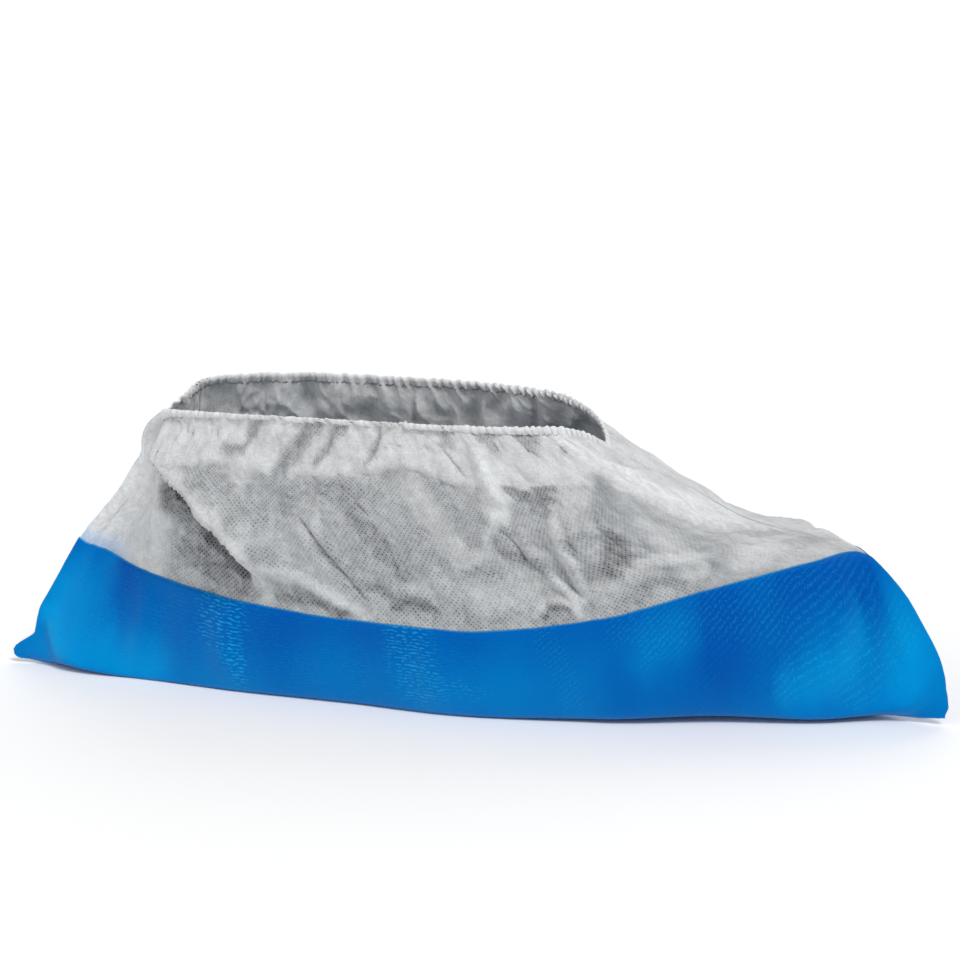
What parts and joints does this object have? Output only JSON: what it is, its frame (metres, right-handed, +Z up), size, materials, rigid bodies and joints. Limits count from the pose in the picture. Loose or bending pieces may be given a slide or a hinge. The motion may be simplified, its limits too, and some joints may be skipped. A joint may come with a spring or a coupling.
{
  "type": "waterproof overshoe",
  "caption": "Disposable overshoe in its worn shape: white non-woven bag with a blue waterproof film sole and a gathered elastic hem, hollow for a shoe.",
  "frame": {"origin": "on the floor, under the middle of the part's box", "axes": "+X towards the toe, +Y towards the outer side of a left foot, +Z up"},
  "size_m": [0.4096, 0.1026, 0.1306],
  "materials": {
    "nonwoven": "thin white spunbonded non-woven with a lattice of small bond points, matt and slightly see-through",
    "film": "thin blue polyethylene film with a fine embossed grain, satin to glossy, softly creased",
    "hem": "white non-woven rolled over a thin elastic and gathered in small scallops, matt"
  },
  "bodies": {
    "root": {"nonwoven_bag": "nonwoven", "sole_film": "film", "elastic_hem": "hem"}
  },
  "joints": []
}
